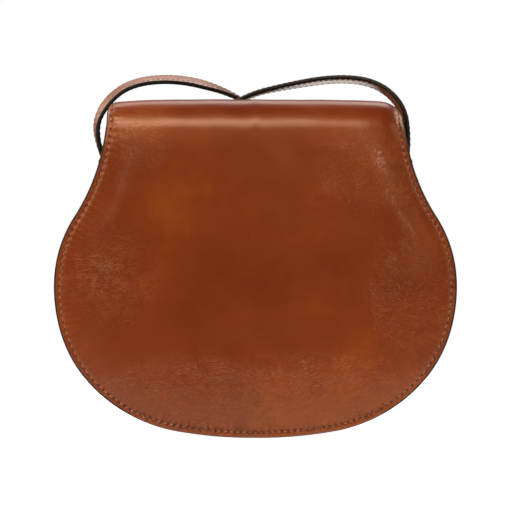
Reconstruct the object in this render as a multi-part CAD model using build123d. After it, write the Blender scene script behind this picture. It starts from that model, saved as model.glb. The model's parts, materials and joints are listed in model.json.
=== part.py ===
from build123d import *
from math import atan2, cos, degrees, hypot, radians, sin, sqrt, tan
import os

# Small saddle-shaped leather shoulder bag. X is across the bag, Y from its back to its flap, Z up.
# Origin: middle of the base, on the surface that the bag stands on. All sizes in millimetres.

# Overall
WIDTH = 210.0             # across the widest point
HEIGHT = 177.0            # floor to the top of the crown
DEPTH = 68.0              # back face to front face, at the floor
MOUTH_DEPTH = 48.0        # back face to front face, at the mouth

# Outline seen from the back
HIP_HEIGHT = 80.0         # height of the widest point
BOTTOM_RADIUS = 235.0
SHOULDER_RADIUS = 65.0
NECK_WIDTH = 156.0
NECK_DROP = 12.0          # top of the waist curve, below the top of the crown
NECK_LEAN = 4.0           # degrees

# Leather, boards and linings
LEATHER = 2.0
BOARD = 0.8
LINING = 0.8
FLAP_LEATHER = 1.8
GUSSET_LEATHER = 1.6
LIP = 4.4                 # edge of a panel to the outside of the gusset

# Levels: each drop is below the top of the crown
ROLL_RADIUS = 16.0        # outside radius of the crown's two rolls
MOUTH_DROP = 27.0         # top of the front panel
GUSSET_DROP = 21.0        # top of the gusset and of the back lining
FLAP_BOTTOM = 48.0        # lower edge of the flap above the floor
FLAP_GAP = 2.6            # flap lining to front panel
FOLD_GAP = 0.3            # between two bodies at a fold
FLAP_INSET = 1.0

# Pocket and mouth binding
POCKET_WIDTH = 112.0
POCKET_DROP = 59.0
POCKET_HEIGHT = 74.0
POCKET_ROOM = 5.0
POCKET_WALL = 1.0
BINDING = 0.9
BINDING_DROP = 7.0

# Magnetic fastener
SNAP_HEIGHT = 70.0
SNAP_RADIUS = 8.0
SOCKET_THICK = 1.2
PLUG_THICK = 1.0
PIN_RADIUS = 1.6
PIN_LENGTH = 0.9
SOCKET_BORE_RADIUS = 2.8
WASHER_RADIUS = 6.5
WASHER_THICK = 0.6

# Ring tabs, rings and rivets
RING_DROP = 43.0          # lower bar of a ring, below the top of the crown
RING_Y = -8.0
RING_WIRE = 1.4           # radius
RING_INSIDE = 13.4        # clear width for the strap
RING_RISE = 11.0          # bar to bar
RING_CORNER = 2.6         # corner radius on the wire's centre line
RING_TILT = 6.0           # degrees that a ring stands off the gusset
TAB_WIDTH = 12.4
TAB_LEATHER = 1.4
TAB_LENGTH = 24.0         # below the lower bar
RUN_CLEAR = 0.15          # bar to leather loop
RIVET_DROP = 17.0         # below the lower bar
RIVET_SHANK = 1.5
RIVET_HEAD = 3.6
RIVET_HEAD_THICK = 1.0

# Strap, buckle and keepers
STRAP_WIDTH = 12.0
STRAP_THICK = 2.6
STRAP_FLOOR = 3.0         # middle of the strap above the floor at the buckle
STRAP_CLEAR = 12.0        # front face of the bag to the middle of the strap
HEEL_X = -30.0            # heel bar of the buckle
BUCKLE_LENGTH = 18.0      # bar to bar
BUCKLE_WIRE = 1.3
BUCKLE_INSIDE = 13.4
PRONG_RADIUS = 1.0
PLY = 1.3                 # one ply of the strap
HOLE_RADIUS = 1.5
HOLE_PITCH = 14.0
FIT = 0.3                 # strap to buckle and keepers
KEEPER_LENGTH = 6.0
KEEPER_LEATHER = 1.2
FIXED_KEEPER_X = 2.0
LOOSE_KEEPER_X = 18.0
FOLD_LENGTH = 18.0        # fold of the strap round the heel bar

# Worked out
HALF = WIDTH / 2
BACK = -DEPTH / 2
HINGE_HEIGHT = HEIGHT - ROLL_RADIUS
MOUTH_HEIGHT = HEIGHT - MOUTH_DROP
GUSSET_TOP = HEIGHT - GUSSET_DROP
RING_HEIGHT = HEIGHT - RING_DROP
RIVET_HEIGHT = RING_HEIGHT - RIVET_DROP
FRONT_LEAN = atan2(DEPTH - MOUTH_DEPTH, MOUTH_HEIGHT)
BAND = LIP + GUSSET_LEATHER           # edge of a panel to the inside of the gusset
INNER = BAND + BOARD                  # the same, to the inside of the gusset board
FLAP_THICK = FLAP_LEATHER + LINING
STRAP_Y = DEPTH / 2 + STRAP_CLEAR
STRAP_RISE = STRAP_THICK + FIT        # one strap layer to the next
STRAP_UPPER = STRAP_FLOOR + STRAP_RISE
FAR = 2 * (WIDTH + HEIGHT + DEPTH)    # past every side of the bag

# Left end of the strap: over the top, down in front of the flap, and along the floor to the buckle
SHORT_ROUTE = [
    (-86.6, RING_Y, HEIGHT - 16), (-84.2, RING_Y, HEIGHT + 1), (-69, 3, HEIGHT + 13),
    (-44, 16, HEIGHT + 16.6), (-20, 27, HEIGHT + 12), (0, 35, HEIGHT), (26, 42, HEIGHT - 21),
    (60, STRAP_Y, HEIGHT - 49), (83, STRAP_Y, 96), (89.5, STRAP_Y, 60), (80, STRAP_Y, 27),
    (60, STRAP_Y, 7), (38, STRAP_Y, STRAP_FLOOR), (HEEL_X, STRAP_Y, STRAP_FLOOR),
]
# Right end: over the top, nearer the back, down the other side, through the buckle to its tip
LONG_ROUTE = [
    (84.2, RING_Y, HEIGHT - 17), (82.6, RING_Y, HEIGHT), (69, -3, HEIGHT + 11),
    (45, 4, HEIGHT + 16.6), (18, 9, HEIGHT + 12), (-6, 16, HEIGHT + 5), (-30, 32, HEIGHT - 11),
    (-60, STRAP_Y, HEIGHT - 43), (-83, STRAP_Y, 99), (-89.5, STRAP_Y, 62), (-80, STRAP_Y, 26),
    (-64, STRAP_Y, 6), (-48, STRAP_Y, 1.6), (-34, STRAP_Y, STRAP_UPPER + 4.6),
    (-26, STRAP_Y, STRAP_UPPER + 4.6), (-9, STRAP_Y, STRAP_UPPER + 0.3),
    (14, STRAP_Y, STRAP_UPPER), (36, STRAP_Y, STRAP_UPPER + 0.2),
]


# ---- outline and layers

def outline_arcs(inset):
    """Right half of the outline: (centre x, centre z, radius, start angle, end angle), bottom to neck."""
    lobe = (2 * BOTTOM_RADIUS * HIP_HEIGHT - HIP_HEIGHT**2 - HALF**2) / (2 * (BOTTOM_RADIUS - HALF))
    lobe_x = HALF - lobe
    shoulder_x = HALF - SHOULDER_RADIUS
    neck = (NECK_WIDTH / 2, HEIGHT - NECK_DROP)
    lean = (cos(radians(NECK_LEAN)), sin(radians(NECK_LEAN)))
    reach = (neck[0] - shoulder_x, neck[1] - HIP_HEIGHT)
    along = reach[0] * lean[0] + reach[1] * lean[1]
    waist = (reach[0]**2 + reach[1]**2 - SHOULDER_RADIUS**2) / (2 * (SHOULDER_RADIUS - along))
    waist_x, waist_z = neck[0] + waist * lean[0], neck[1] + waist * lean[1]
    bottom_end = degrees(atan2(HIP_HEIGHT - BOTTOM_RADIUS, lobe_x))
    shoulder_end = degrees(atan2(waist_z - HIP_HEIGHT, waist_x - shoulder_x))
    return [
        (0, BOTTOM_RADIUS, BOTTOM_RADIUS - inset, -90, bottom_end),
        (lobe_x, HIP_HEIGHT, lobe - inset, bottom_end, 0),
        (shoulder_x, HIP_HEIGHT, SHOULDER_RADIUS - inset, 0, shoulder_end),
        (waist_x, waist_z, waist + inset, shoulder_end - 180, NECK_LEAN - 180),
    ]


def outline_point(inset, height):
    """X of the right side of the outline above its widest point, and the angle of its outward normal."""
    _, _, (lobe_x, lobe_z, lobe, _, lobe_end), (waist_x, waist_z, waist, _, _) = outline_arcs(inset)
    if height < lobe_z + lobe * sin(radians(lobe_end)):
        side = lobe_x + sqrt(lobe**2 - (height - lobe_z)**2)
        return side, atan2(height - lobe_z, side - lobe_x)
    side = waist_x - sqrt(waist**2 - (waist_z - height)**2)
    return side, atan2(waist_z - height, waist_x - side)


def outline_prism(inset):
    """The outline, carried straight up past the neck, as a block through the bag along Y."""
    arcs = outline_arcs(inset)
    right = [CenterArc((x, z), radius, start, end - start) for x, z, radius, start, end in arcs]
    neck = right[-1] @ 1
    top = (neck.X, HEIGHT * 2)
    right.append(Line(neck, top))
    left = [mirror(edge, about=Plane.YZ) for edge in right]
    lid = Line(top, (-top[0], top[1]))
    face = make_face(Curve() + right + left + [lid])
    return extrude(Plane.XZ * face, amount=DEPTH * 2, both=True)


def slab(points):
    """A side-view polygon, (y, z) points, carried through the bag along X."""
    return extrude(Plane.YZ * make_face(Polyline(*points, close=True)), amount=FAR, both=True)


def front_y(height, out=0.0):
    """Y of the leaning front face, moved outwards by out, at a height."""
    return DEPTH / 2 - height * tan(FRONT_LEAN) + out / cos(FRONT_LEAN)


def back_layer(near, far, top):
    """Slab between two depths in from the back face, up to a height."""
    return slab([(BACK + near, -FAR), (BACK + far, -FAR), (BACK + far, top), (BACK + near, top)])


def front_layer(near, far, bottom, top):
    """Leaning slab between two distances out from the front face."""
    low, high = [(front_y(z, near), front_y(z, far)) for z in (bottom, top)]
    return slab([(low[0], bottom), (low[1], bottom), (high[1], top), (high[0], top)])


def body_room(back_in, front_in, top):
    """Slab between the back layers and the front layers."""
    return slab([
        (BACK + back_in, -LIP), (front_y(-LIP, -front_in), -LIP), (front_y(top, -front_in), top),
        (BACK + back_in, top),
    ])


def front_disc(radius, near, far):
    """Disc square to the leaning front face, at the fastener's height, between two distances out."""
    plane = Plane(origin=(0, front_y(SNAP_HEIGHT), SNAP_HEIGHT), z_dir=(0, cos(FRONT_LEAN), sin(FRONT_LEAN)))
    return extrude(plane.offset(near) * Circle(radius), amount=far - near)


# ---- body of the bag

def back_panel():
    return outline_prism(0) & back_layer(0, LEATHER, HINGE_HEIGHT - FOLD_GAP / 2)


def back_board():
    return outline_prism(BAND) & back_layer(LEATHER, LEATHER + BOARD, GUSSET_TOP)


def back_lining():
    return outline_prism(BAND) & back_layer(LEATHER + BOARD, LEATHER + BOARD + LINING, GUSSET_TOP)


def front_panel():
    panel = outline_prism(0) & front_layer(-LEATHER, 0, -FAR / 4, MOUTH_HEIGHT)
    return panel - front_disc(WASHER_RADIUS + FIT, -LEATHER, -LEATHER + WASHER_THICK)


def front_lining():
    return outline_prism(BAND) & front_layer(-LEATHER - LINING, -LEATHER, -FAR / 4, MOUTH_HEIGHT)


def mouth_binding():
    depth = LEATHER + LINING
    outside = front_layer(-depth - BINDING, BINDING, MOUTH_HEIGHT - BINDING_DROP, MOUTH_HEIGHT + BINDING)
    inside = front_layer(-depth, 0, MOUTH_HEIGHT - 2 * BINDING_DROP, MOUTH_HEIGHT)
    return outline_prism(INNER + LINING + FIT) & (outside - inside)


def rivet_holes():
    return Part() + [rivet(side, FIT / 2) for side in (-1, 1)]


def gusset():
    band = outline_prism(LIP) - outline_prism(BAND)
    lip = outline_prism(0) - outline_prism(BAND)
    wall = band & body_room(LEATHER, LEATHER, GUSSET_TOP)
    back_lip = lip & back_layer(LEATHER, LEATHER + GUSSET_LEATHER, GUSSET_TOP)
    front_lip = lip & front_layer(-LEATHER - GUSSET_LEATHER, -LEATHER, -FAR / 4, MOUTH_HEIGHT)
    front_room = body_room(LEATHER, LEATHER, GUSSET_TOP)
    return wall + back_lip + (front_lip & front_room) - rivet_holes()


def gusset_board():
    band = outline_prism(BAND) - outline_prism(INNER)
    room = body_room(LEATHER + BOARD + LINING, LEATHER + LINING, MOUTH_HEIGHT)
    return band & room - rivet_holes()


def gusset_lining():
    band = outline_prism(INNER) - outline_prism(INNER + LINING)
    room = body_room(LEATHER + BOARD + LINING, LEATHER + LINING, MOUTH_HEIGHT)
    return band & room - rivet_holes()


def slip_pocket():
    wall_y = BACK + LEATHER + BOARD + LINING
    middle = HEIGHT - POCKET_DROP - POCKET_HEIGHT / 2
    depth = POCKET_ROOM + POCKET_WALL
    outside = Pos(0, wall_y + depth / 2, middle) * Box(POCKET_WIDTH, depth, POCKET_HEIGHT)
    room = Pos(0, wall_y + POCKET_ROOM / 2, middle + POCKET_WALL) * Box(
        POCKET_WIDTH - 2 * POCKET_WALL, POCKET_ROOM, POCKET_HEIGHT)
    return outside - room


# ---- magnetic fastener

def magnet_socket():
    return front_disc(SNAP_RADIUS, 0, SOCKET_THICK) - front_disc(
        SOCKET_BORE_RADIUS, SOCKET_THICK - PIN_LENGTH - FIT / 2, SOCKET_THICK)


def socket_washer():
    return front_disc(WASHER_RADIUS, -LEATHER, -LEATHER + WASHER_THICK)


def magnet_plug():
    plate = front_disc(SNAP_RADIUS, FLAP_GAP - PLUG_THICK, FLAP_GAP)
    pin = front_disc(PIN_RADIUS, FLAP_GAP - PLUG_THICK - PIN_LENGTH, FLAP_GAP - PLUG_THICK)
    return plate + pin


def plug_washer():
    return front_disc(WASHER_RADIUS, FLAP_GAP + LINING, FLAP_GAP + LINING + WASHER_THICK)


# ---- crown and flap

def crown_core(depth):
    """Everything under the crown's surface, depth in from it."""
    roll = ROLL_RADIUS - depth
    back_y = BACK + ROLL_RADIUS
    fore_y = front_y(HINGE_HEIGHT, FLAP_GAP + FLAP_THICK) - ROLL_RADIUS / cos(FRONT_LEAN)
    lean = degrees(FRONT_LEAN)
    edges = [
        CenterArc((back_y, HINGE_HEIGHT), roll, 90, 90),
        CenterArc((fore_y, HINGE_HEIGHT), roll, lean, 90 - lean),
    ]
    top = Line(edges[0] @ 0, edges[1] @ 1)
    low_back = Line(edges[0] @ 1, (back_y, HINGE_HEIGHT))
    low_fore = Line(edges[1] @ 0, (fore_y, HINGE_HEIGHT))
    under = Line((back_y, HINGE_HEIGHT), (fore_y, HINGE_HEIGHT))
    face = make_face(Curve() + edges + [top, low_back, low_fore, under])
    return extrude(Plane.YZ * face, amount=FAR, both=True)


def crown_end():
    """Y and Z of the crown's front edge, on its outside: the line that the flap folds on."""
    fore_y = front_y(HINGE_HEIGHT, FLAP_GAP + FLAP_THICK) - ROLL_RADIUS / cos(FRONT_LEAN)
    return fore_y + ROLL_RADIUS * cos(FRONT_LEAN), HINGE_HEIGHT + ROLL_RADIUS * sin(FRONT_LEAN)


def crown_layer(near, far):
    above = Pos(0, 0, HINGE_HEIGHT + FOLD_GAP / 2 + FAR) * Box(2 * FAR, 2 * FAR, 2 * FAR)
    return outline_prism(0) & ((crown_core(near) - crown_core(far)) & above)


def flap_crown():
    return crown_layer(0, FLAP_LEATHER)


def crown_lining():
    return outline_prism(FLAP_INSET) & crown_layer(FLAP_LEATHER, FLAP_THICK)


def flap_layer(near, far, inset):
    """Leaning layer of the flap, its lower edge the bag's own outline moved up."""
    end_y, end_z = crown_end()
    down = (sin(FRONT_LEAN), -cos(FRONT_LEAN))
    inward = (-cos(FRONT_LEAN), -sin(FRONT_LEAN))
    corners = []
    for depth, run in ((near, FOLD_GAP), (near, HEIGHT), (far, HEIGHT), (far, FOLD_GAP)):
        corners.append((end_y + down[0] * run + inward[0] * depth, end_z + down[1] * run + inward[1] * depth))
    outline = outline_prism(inset) & (Pos(0, 0, FLAP_BOTTOM) * outline_prism(inset))
    return outline & slab(corners)


def flap_front():
    return flap_layer(0, FLAP_LEATHER, FLAP_INSET) - plug_washer()


def flap_lining():
    return flap_layer(FLAP_LEATHER, FLAP_THICK, 2 * FLAP_INSET)


# ---- ring tabs, rings and rivets

def bar_centre(side):
    """Middle of a ring's lower bar: its leather loop just clears the gusset."""
    loop = RING_WIRE + RUN_CLEAR + TAB_LEATHER
    x, normal = outline_point(LIP - loop - RUN_CLEAR, RING_HEIGHT)
    return Vector(side * x, RING_Y, RING_HEIGHT), normal


def ring_rise(side):
    """From a ring's lower bar to its upper bar: up the neck of the gusset, standing a little off it."""
    lean = bar_centre(side)[1] - radians(RING_TILT)
    return Vector(-side * sin(lean), 0, cos(lean)) * RING_RISE


def along_y(centre, radius, length):
    plane = Plane(origin=(centre.X, centre.Y - length / 2, centre.Z), z_dir=(0, 1, 0), x_dir=(1, 0, 0))
    return extrude(plane * Circle(radius), amount=length)


def square_loop(centre, rise, inside, wire, corner):
    """Round wire bent to a rounded rectangle: one long side along Y through centre, the other rise away."""
    half = inside / 2 + wire
    middle = centre + rise * 0.5
    plane = Plane(origin=middle, x_dir=(0, 1, 0), z_dir=Vector(0, 1, 0).cross(rise.normalized()))
    path = plane * RectangleRounded(2 * half, rise.length, corner).wire()
    start = path @ 0
    section = Plane(origin=start, z_dir=path % 0) * Circle(wire)
    return sweep(section, path=path)


def strap_ring(side):
    centre, _ = bar_centre(side)
    return square_loop(centre, ring_rise(side), RING_INSIDE, RING_WIRE, RING_CORNER)


def ring_tab(side):
    centre, _ = bar_centre(side)
    bore = RING_WIRE + RUN_CLEAR
    outer = bore + TAB_LEATHER
    band = outline_prism(LIP - 2 * TAB_LEATHER) - outline_prism(LIP)
    clip = Pos(side * HALF, RING_Y, RING_HEIGHT - TAB_LENGTH / 2) * Box(WIDTH, TAB_WIDTH, TAB_LENGTH)
    loop = along_y(centre, outer, TAB_WIDTH)
    return (band & clip) + loop - along_y(centre, bore, DEPTH) - rivet(side, FIT / 2)


def rivet(side, grow=0.0):
    """Rivet through a tab and the gusset wall; grow makes the room that its shank needs."""
    x, normal = outline_point(LIP, RIVET_HEIGHT)
    plane = Plane(origin=(side * x, RING_Y, RIVET_HEIGHT), z_dir=(side * cos(normal), 0, sin(normal)))
    outside = 2 * TAB_LEATHER + FIT / 2
    inside = GUSSET_LEATHER + BOARD + LINING + FIT / 2
    shank = extrude(plane.offset(-inside) * Circle(RIVET_SHANK + grow), amount=inside + outside)
    if grow:
        return shank
    head = extrude(plane.offset(outside) * Circle(RIVET_HEAD), amount=RIVET_HEAD_THICK)
    cap = extrude(plane.offset(-inside - RIVET_HEAD_THICK) * Circle(RIVET_HEAD), amount=RIVET_HEAD_THICK)
    return shank + head + cap


# ---- strap

def cord_radii(points):
    """Arc radius for each corner of a route: as large as its two runs allow."""
    radii = []
    for before, corner, after in zip(points, points[1:], points[2:]):
        first, second = corner - before, after - corner
        turn = radians(first.get_angle(second))
        radii.append(0.45 * min(first.length, second.length) / tan(turn / 2))
    return radii


def strap_run(start, route):
    """Flat strap: straight runs and arcs seen from the front, cut to its width from above."""
    points = [start] + [Vector(*point) for point in route]
    front = [Vector(point.X, 0, point.Z) for point in points]
    radii = cord_radii(front)
    path = FilletPolyline(*front, radius=radii)
    start_plane = Plane(origin=front[0], x_dir=(0, 1, 0), z_dir=path % 0)
    section = start_plane * Rectangle(2 * (DEPTH + STRAP_Y), STRAP_THICK)
    run = sweep(section, path=path.wire()) & strap_plan(points)
    expected = STRAP_WIDTH * STRAP_THICK * path.length
    true_length = FilletPolyline(*points, radius=cord_radii(points)).length
    print("strap length", round(true_length), "radii", [round(radius) for radius in radii])
    print("volume over section times length", round(run.volume / expected, 3))
    return run


def strap_plan(points):
    """The strap's width seen from above: along the route while it is high, then straight across the bag."""
    half = STRAP_WIDTH / 2
    high = [point for point in points if point.Z > HIP_HEIGHT and point.Y > RING_Y]
    side = 1 if high[0].X > 0 else -1
    middle = [(side * FAR, RING_Y), (points[2].X, RING_Y)] + [(point.X, point.Y) for point in high]
    middle.append((-side * FAR, STRAP_Y))
    edges = [(x, y + half) for x, y in middle] + [(x, y - half) for x, y in reversed(middle)]
    upper = extrude(make_face(Polyline(*edges, close=True)), amount=HEIGHT * 2)
    split = HIP_HEIGHT + STRAP_WIDTH
    lower = Pos(0, STRAP_Y, split - FAR / 2) * Box(2 * FAR, STRAP_WIDTH, FAR)
    return (upper - Pos(0, 0, split - FAR / 2) * Box(2 * FAR, 2 * FAR, FAR)) + lower


def upper_bar(side):
    return bar_centre(side)[0] + ring_rise(side)


def ring_end(side):
    """The strap's loop round a ring's upper bar, and where the strap goes on from it."""
    bar = upper_bar(side)
    bore = RING_WIRE + RUN_CLEAR
    outer = bore + PLY
    start = bar + Vector(0, 0, bore + PLY / 2)
    loop = along_y(bar, outer, STRAP_WIDTH) - along_y(bar, bore, DEPTH)
    return loop, start


def strap_short():
    """Left end: ring loop, long run, and the fold round the buckle's heel bar."""
    loop, start = ring_end(-1)
    run = strap_run(start, SHORT_ROUTE)
    heel = heel_bar()
    bore = BUCKLE_WIRE + RUN_CLEAR
    fold = along_y(heel, bore + PLY, STRAP_WIDTH)
    flat_z = STRAP_FLOOR + (STRAP_THICK + PLY) / 2
    flat = Pos(HEEL_X + FOLD_LENGTH / 2, STRAP_Y, flat_z) * Box(FOLD_LENGTH, STRAP_WIDTH, PLY)
    slot = Pos(HEEL_X, STRAP_Y, heel.Z) * Box(4 * BUCKLE_WIRE + 8 * PLY, 4 * PRONG_RADIUS, 4 * bore + 4 * PLY)
    bar_room = along_y(upper_bar(-1), RING_WIRE + RUN_CLEAR, DEPTH)
    return loop + run + fold + flat - along_y(heel, bore, DEPTH) - slot - bar_room


def strap_long():
    """Right end: ring loop, long run with a row of holes, through the buckle to its tip."""
    loop, start = ring_end(1)
    run = strap_run(start, LONG_ROUTE)
    holes = Part()
    for count in range(4):
        x = HEEL_X + 20 + count * HOLE_PITCH
        holes += Pos(x, STRAP_Y, STRAP_FLOOR + STRAP_RISE) * Cylinder(HOLE_RADIUS, 4 * STRAP_THICK)
    bar_room = along_y(upper_bar(1), RING_WIRE + RUN_CLEAR, DEPTH)
    return loop + run - prong_body(PRONG_RADIUS + 2 * FIT) - holes - bar_room


# ---- buckle and keepers

def heel_bar():
    """Middle of the buckle's heel bar: its front bar just clears the strap passing under it."""
    return Vector(HEEL_X, STRAP_Y, STRAP_FLOOR + STRAP_THICK / 2 + FIT + BUCKLE_WIRE)


def buckle_frame():
    return square_loop(heel_bar(), Vector(-BUCKLE_LENGTH, 0, 0), BUCKLE_INSIDE, BUCKLE_WIRE, RING_CORNER)


def prong_body(radius):
    """Straight pin from above the heel bar to above the front bar."""
    heel = heel_bar()
    level = BUCKLE_WIRE + PRONG_RADIUS + RUN_CLEAR
    plane = Plane(origin=(HEEL_X, STRAP_Y, heel.Z + level), z_dir=(-1, 0, 0))
    return extrude(plane * Circle(radius), amount=BUCKLE_LENGTH + BUCKLE_WIRE)


def buckle_prong():
    """Pin with an eye that turns on the heel bar."""
    bore = BUCKLE_WIRE + 0.05
    eye = along_y(heel_bar(), bore + 1.3 * PRONG_RADIUS, 2 * PRONG_RADIUS)
    return eye + prong_body(PRONG_RADIUS) - along_y(heel_bar(), bore, DEPTH)


def keeper(x):
    """Leather band round both layers of the strap."""
    low = STRAP_FLOOR - STRAP_THICK / 2 - FIT
    high = STRAP_FLOOR + STRAP_RISE + STRAP_THICK / 2 + 3 * FIT
    room = Box(KEEPER_LENGTH * 2, STRAP_WIDTH + 2 * FIT, high - low)
    band = Box(KEEPER_LENGTH, STRAP_WIDTH + 2 * FIT + 2 * KEEPER_LEATHER, high - low + 2 * KEEPER_LEATHER)
    return Pos(x, STRAP_Y, (low + high) / 2) * (band - room)


# ---- write every piece

PIECES = {
    "back_panel": back_panel,
    "back_board": back_board,
    "back_lining": back_lining,
    "front_panel": front_panel,
    "front_lining": front_lining,
    "mouth_binding": mouth_binding,
    "gusset": gusset,
    "gusset_board": gusset_board,
    "gusset_lining": gusset_lining,
    "slip_pocket": slip_pocket,
    "magnet_socket": magnet_socket,
    "socket_washer": socket_washer,
    "magnet_plug": magnet_plug,
    "plug_washer": plug_washer,
    "flap_crown": flap_crown,
    "crown_lining": crown_lining,
    "flap_front": flap_front,
    "flap_lining": flap_lining,
    "ring_tab_left": lambda: ring_tab(-1),
    "ring_tab_right": lambda: ring_tab(1),
    "tab_rivets": lambda: Part() + [rivet(-1), rivet(1)],
    "strap_ring_left": lambda: strap_ring(-1),
    "strap_ring_right": lambda: strap_ring(1),
    "strap_short": strap_short,
    "strap_long": strap_long,
    "buckle_frame": buckle_frame,
    "buckle_prong": buckle_prong,
    "fixed_keeper": lambda: keeper(FIXED_KEEPER_X),
    "loose_keeper": lambda: keeper(LOOSE_KEEPER_X),
}

os.makedirs("parts", exist_ok=True)
for name, make in PIECES.items():
    export_step(make(), f"parts/{name}.step")
print("crown hinge", BACK, HINGE_HEIGHT, "flap hinge", crown_end())
print("rings", bar_centre(-1), bar_centre(1), "heel", heel_bar())
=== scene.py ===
import json
from math import cos, pi, radians, sin

import bmesh
import bpy
import numpy as np
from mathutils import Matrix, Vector, noise

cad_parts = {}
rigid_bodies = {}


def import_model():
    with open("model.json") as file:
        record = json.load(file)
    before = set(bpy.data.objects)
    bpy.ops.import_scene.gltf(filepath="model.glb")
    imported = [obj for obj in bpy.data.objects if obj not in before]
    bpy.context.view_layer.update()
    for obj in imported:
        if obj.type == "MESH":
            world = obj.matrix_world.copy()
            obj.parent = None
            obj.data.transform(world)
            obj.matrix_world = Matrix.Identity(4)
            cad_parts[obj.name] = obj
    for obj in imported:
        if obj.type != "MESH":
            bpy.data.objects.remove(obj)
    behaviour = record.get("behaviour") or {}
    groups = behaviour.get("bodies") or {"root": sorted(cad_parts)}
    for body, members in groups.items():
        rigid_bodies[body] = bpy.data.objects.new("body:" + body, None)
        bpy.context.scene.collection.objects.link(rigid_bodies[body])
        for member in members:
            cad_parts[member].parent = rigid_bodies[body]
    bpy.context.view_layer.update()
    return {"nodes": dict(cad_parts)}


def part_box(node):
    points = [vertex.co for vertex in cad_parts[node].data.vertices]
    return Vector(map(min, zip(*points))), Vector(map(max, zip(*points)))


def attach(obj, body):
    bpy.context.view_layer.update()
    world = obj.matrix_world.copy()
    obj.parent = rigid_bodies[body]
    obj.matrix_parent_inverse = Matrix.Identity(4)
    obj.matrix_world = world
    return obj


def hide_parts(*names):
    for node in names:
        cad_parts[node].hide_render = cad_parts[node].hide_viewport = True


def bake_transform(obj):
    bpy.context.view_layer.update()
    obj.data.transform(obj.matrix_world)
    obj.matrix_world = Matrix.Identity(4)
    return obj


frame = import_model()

# ---- Camera
# Stands square to the back of the bag, level with the middle of it, as for a plain catalogue picture.
back_low, back_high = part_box("back_panel")
camera_distance = 1.15       # from the back panel
view_width = 0.2668          # of the picture, at the back panel
camera_data = bpy.data.cameras.new("camera")
camera_data.sensor_width = 36
camera_data.lens = camera_data.sensor_width * camera_distance / view_width
camera = bpy.data.objects.new("camera", camera_data)
camera.location = (0.0003, back_low.y - camera_distance, 0.0948)
camera.rotation_euler = (radians(90), 0, 0)
bpy.context.scene.collection.objects.link(camera)
bpy.context.scene.camera = camera


# ---- Strap leather and its painted edges
# The strap is two plies of the bag's leather glued back to back, with its raw edges sanded round
# and painted nearly black. Its face is glossy, with a close fine grain.
def new_material(name):
    """An empty node material with its shader, and a function that adds a node and links its inputs."""
    material = bpy.data.materials.new(name)
    material.use_nodes = True
    tree = material.node_tree
    shader = tree.nodes["Principled BSDF"]

    def add(kind, inputs=None, **settings):
        node = tree.nodes.new(kind)
        for key, value in settings.items():
            setattr(node, key, value)
        for key, value in (inputs or {}).items():
            if isinstance(value, bpy.types.NodeSocket):
                tree.links.new(value, node.inputs[key])
            else:
                node.inputs[key].default_value = value
        return node

    def feed(socket, value):
        tree.links.new(value, shader.inputs[socket])

    return material, shader, add, feed


def spread(add, factor, low, high, to_low, to_high):
    """A value carried evenly from one span to another."""
    inputs = {"Value": factor, "From Min": low, "From Max": high, "To Min": to_low, "To Max": to_high}
    return add("ShaderNodeMapRange", inputs).outputs["Result"]


def ramp(add, factor, stops):
    """A colour ramp from (place, colour) stops."""
    node = add("ShaderNodeValToRGB", {"Fac": factor})
    elements = node.color_ramp.elements
    while len(elements) < len(stops):
        elements.new(0.5)
    for element, (place, colour) in zip(elements, stops):
        element.position = place
        element.color = (*colour, 1)
    return node.outputs["Color"]


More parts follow.
